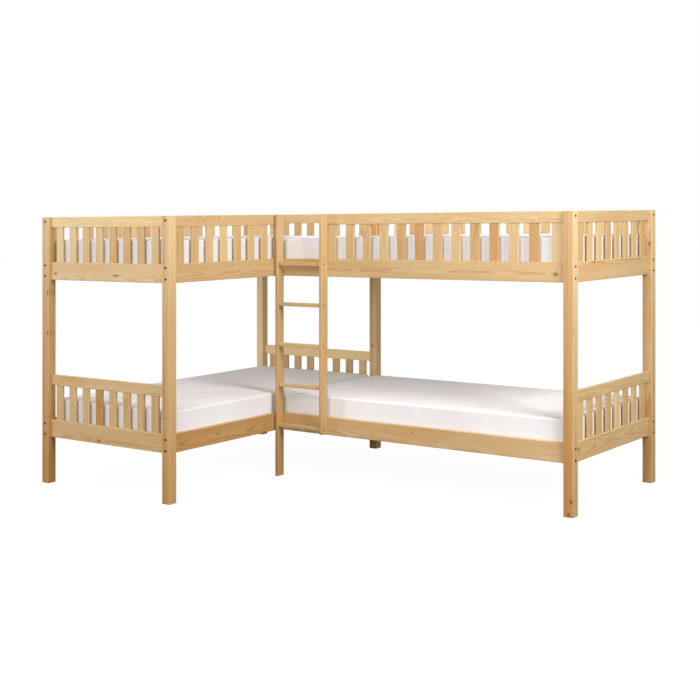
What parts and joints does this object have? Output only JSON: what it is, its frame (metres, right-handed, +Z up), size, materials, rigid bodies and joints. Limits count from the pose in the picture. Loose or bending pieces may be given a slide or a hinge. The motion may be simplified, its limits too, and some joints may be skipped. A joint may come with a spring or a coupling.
{
  "type": "corner bunk bed",
  "caption": "L-shaped pine corner bunk bed with slatted end panels and guards, square posts, a straight ladder in the inner corner, and a mattress on every level.",
  "frame": {"origin": "at floor height, under the centre of the whole bed's plan", "axes": "+Z up; +X runs to the right along bunk B, the longer side of the L; +Y runs from the front of bunk A to the rear side that goes against the wall"},
  "size_m": [2.978, 1.984, 1.562],
  "materials": {
    "post_wood": "clear satin lacquer on pine",
    "rail_wood": "clear satin lacquer on pine",
    "slat_wood": "clear satin lacquer on pine",
    "ladder_wood": "clear satin lacquer on pine",
    "deck_wood": "bare planed pine",
    "mattress_cover": "plain white woven cover",
    "fitting_steel": "dark bronze plated"
  },
  "bodies": {
    "frame": {"post_a_front_left": "post_wood", "post_a_front_right": "post_wood", "post_a_rear_left": "post_wood", "post_a_rear_right": "post_wood", "post_b_front_right": "post_wood", "post_b_rear_right": "post_wood", "panel_a_front_lower_bottom_rail": "rail_wood", "panel_a_front_lower_slatted_top": "slat_wood", "panel_a_front_upper_bottom_rail": "rail_wood", "panel_a_front_upper_slatted_top": "slat_wood", "panel_a_rear_lower_bottom_rail": "rail_wood", "panel_a_rear_lower_slatted_top": "slat_wood", "panel_a_rear_upper_bottom_rail": "rail_wood", "panel_a_rear_upper_slatted_top": "slat_wood", "panel_b_right_lower_bottom_rail": "rail_wood", "panel_b_right_lower_slatted_top": "slat_wood", "panel_b_right_upper_bottom_rail": "rail_wood", "panel_b_right_upper_slatted_top": "slat_wood", "rail_a_left_lower": "rail_wood", "rail_a_left_upper": "rail_wood", "rail_a_right_lower": "rail_wood", "rail_a_right_upper": "rail_wood", "rail_b_front_lower": "rail_wood", "rail_b_front_upper": "rail_wood", "rail_b_rear_lower": "rail_wood", "rail_b_rear_upper": "rail_wood", "guard_a_left": "slat_wood", "guard_a_right": "slat_wood", "guard_b_front": "slat_wood", "guard_b_rear": "slat_wood", "ledger_a_left_lower": "deck_wood", "ledger_a_left_upper": "deck_wood", "ledger_a_right_lower": "deck_wood", "ledger_a_right_upper": "deck_wood", "ledger_b_front_lower": "deck_wood", "ledger_b_front_upper": "deck_wood", "ledger_b_rear_lower": "deck_wood", "ledger_b_rear_upper": "deck_wood", "slat_deck_a_lower": "deck_wood", "slat_deck_a_upper": "deck_wood", "slat_deck_b_lower": "deck_wood", "slat_deck_b_upper": "deck_wood", "ladder_leg_left": "ladder_wood", "ladder_side_right": "ladder_wood", "ladder_rung_1": "ladder_wood", "ladder_rung_2": "ladder_wood", "ladder_rung_3": "ladder_wood", "ladder_rung_4": "ladder_wood", "ladder_rung_5": "ladder_wood", "corner_bracket_lower": "fitting_steel", "corner_bracket_upper": "fitting_steel"},
    "mattress_a_low": {"mattress_a_lower": "mattress_cover"},
    "mattress_a_high": {"mattress_a_upper": "mattress_cover"},
    "mattress_b_low": {"mattress_b_lower": "mattress_cover"},
    "mattress_b_high": {"mattress_b_upper": "mattress_cover"}
  },
  "joints": [
    {"name": "mattress_a_low_lift", "type": "slide", "parent": "frame", "child": "mattress_a_low", "axis": [0, 0, 1], "range_m": [0, 0.25]},
    {"name": "mattress_a_high_lift", "type": "slide", "parent": "frame", "child": "mattress_a_high", "axis": [0, 0, 1], "range_m": [0, 0.25]},
    {"name": "mattress_b_low_lift", "type": "slide", "parent": "frame", "child": "mattress_b_low", "axis": [0, 0, 1], "range_m": [0, 0.25]},
    {"name": "mattress_b_high_lift", "type": "slide", "parent": "frame", "child": "mattress_b_high", "axis": [0, 0, 1], "range_m": [0, 0.25]}
  ]
}
